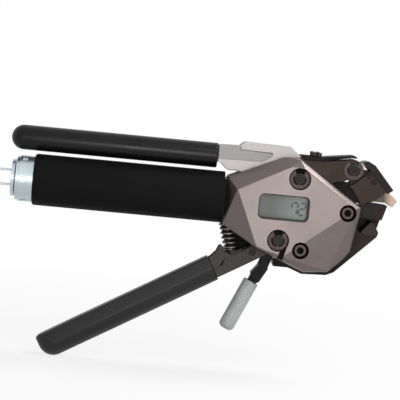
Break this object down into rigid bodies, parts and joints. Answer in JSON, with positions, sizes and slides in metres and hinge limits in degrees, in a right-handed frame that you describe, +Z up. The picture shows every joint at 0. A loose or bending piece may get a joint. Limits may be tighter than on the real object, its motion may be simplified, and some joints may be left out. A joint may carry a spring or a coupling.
{
  "type": "strapping tensioner tool",
  "caption": "Hand strapping tensioner: pull trigger draws a band through a nose with roller, gripper and cutter, with release lever, cut-off lever and a small cycle display.",
  "frame": {"origin": "middle of the hand grip on the handle axis", "axes": "+X along the handle towards the nose, +Y away from the display, +Z up"},
  "size_m": [0.2337, 0.036, 0.1261],
  "materials": {
    "cover_paint": "satin gunmetal paint",
    "black_paint": "satin black",
    "handle_rubber": "matte ribless rubber",
    "lever_vinyl": "smooth black vinyl",
    "trigger_rubber": "matte",
    "grey_vinyl": "soft grey vinyl",
    "zinc_plate": "zinc plated",
    "arm_alloy": "cast and polished",
    "tube_alloy": "drawn",
    "bright_steel": "bright",
    "dark_steel": "oil blacked",
    "black_steel": "black oxide",
    "blade_steel": "ground tool steel, straw tinted",
    "nut_brass": "turned",
    "lens_clear": "clear window",
    "lcd_grey": "reflective liquid crystal",
    "board_green": "solder mask",
    "cell_steel": "plain"
  },
  "bodies": {
    "housing": {"frame_body": "black_paint", "front_cover": "cover_paint", "rear_cover": "cover_paint", "cover_screws": "bright_steel", "handle_tube": "tube_alloy", "handle_grip": "handle_rubber", "tail_plug": "zinc_plate", "hanging_loop": "bright_steel", "nose_plate_front": "dark_steel", "nose_plate_rear": "dark_steel", "plate_rivet": "bright_steel", "cutoff_pin": "dark_steel", "cutoff_clips": "dark_steel", "trigger_pin": "dark_steel", "trigger_clips": "dark_steel", "cutter_pin": "dark_steel", "cutter_clips": "dark_steel", "pinion_shaft": "bright_steel", "holding_gripper_pin": "bright_steel", "roller_axle": "dark_steel", "lower_jaw": "dark_steel", "hold_spring": "black_paint", "hold_screws": "bright_steel", "display_lens": "lens_clear", "lcd_panel": "lcd_grey", "counter_board": "board_green", "coin_cell": "cell_steel", "return_spring": "bright_steel"},
    "trigger": {"trigger_lever": "dark_steel", "sector_gear": "dark_steel", "sector_rivet": "bright_steel", "trigger_grip": "trigger_rubber"},
    "pinion": {"idler_pinion": "dark_steel"},
    "carriage": {"rack_carriage": "dark_steel", "pull_rod": "bright_steel", "tension_spring": "dark_steel", "spring_washers": "bright_steel", "adjusting_nut": "nut_brass", "moving_gripper_pin": "bright_steel"},
    "moving_jaw": {"moving_gripper": "dark_steel"},
    "release": {"release_lever": "black_paint", "release_cap": "grey_vinyl"},
    "holding_jaw": {"holding_gripper": "dark_steel"},
    "cutoff": {"cutoff_arm": "arm_alloy", "cutoff_grip": "lever_vinyl"},
    "cutter": {"cutter_block": "dark_steel", "cutter_cap": "black_steel", "cutter_dowels": "dark_steel", "cutter_blade": "blade_steel"},
    "roller": {"band_roller": "bright_steel"},
    "adjuster": {"adjuster_collar": "zinc_plate"}
  },
  "joints": [
    {"name": "trigger_pull", "type": "hinge", "parent": "housing", "child": "trigger", "pos_m": [0.0796, 0, -0.0196], "axis": [0, 1, 0], "range_deg": [0, 20], "stiffness_Nm_per_rad": 1.2, "deforming": ["return_spring"]},
    {"name": "pinion_turn", "type": "hinge", "parent": "housing", "child": "pinion", "pos_m": [0.0796, 0, -0.0026], "axis": [0, 1, 0], "range_deg": [-37, 0]},
    {"name": "carriage_slide", "type": "slide", "parent": "housing", "child": "carriage", "axis": [-1, 0, 0], "range_m": [0, 0.0039]},
    {"name": "moving_grip_tilt", "type": "hinge", "parent": "carriage", "child": "moving_jaw", "pos_m": [0.0965, 0, 0.0016], "axis": [0, 1, 0], "range_deg": [0, 14], "stiffness_Nm_per_rad": 0.02},
    {"name": "release_pull", "type": "hinge", "parent": "housing", "child": "release", "pos_m": [0.0796, 0, -0.0196], "axis": [0, 1, 0], "range_deg": [0, 12], "stiffness_Nm_per_rad": 0.8, "springref_deg": -20.05},
    {"name": "holding_grip_tilt", "type": "hinge", "parent": "housing", "child": "holding_jaw", "pos_m": [0.106, 0, -0.014], "axis": [0, 1, 0], "range_deg": [-22, 0]},
    {"name": "cutoff_lift", "type": "hinge", "parent": "housing", "child": "cutoff", "pos_m": [0.0882, 0, 0.0144], "axis": [0, 1, 0], "range_deg": [0, 45]},
    {"name": "cutter_swing", "type": "hinge", "parent": "housing", "child": "cutter", "pos_m": [0.1174, 0, 0.0216], "axis": [0, 1, 0], "range_deg": [-15.2, 0]},
    {"name": "roller_spin", "type": "hinge", "parent": "housing", "child": "roller", "pos_m": [0.1271, 0, -0.0003], "axis": [0, 1, 0], "continuous": true},
    {"name": "adjuster_turn", "type": "hinge", "parent": "housing", "child": "adjuster", "pos_m": [-0.0585, 0, 0], "axis": [1, 0, 0], "continuous": true}
  ],
  "couplings": [
    {"joint": "pinion_turn", "follows": "trigger_pull", "ratio": -1.8333},
    {"joint": "carriage_slide", "follows": "trigger_pull", "m_per_rad": 0.011},
    {"joint": "holding_grip_tilt", "follows": "release_pull", "ratio": -1.8},
    {"joint": "cutter_swing", "follows": "cutoff_lift", "ratio": -0.33333}
  ]
}
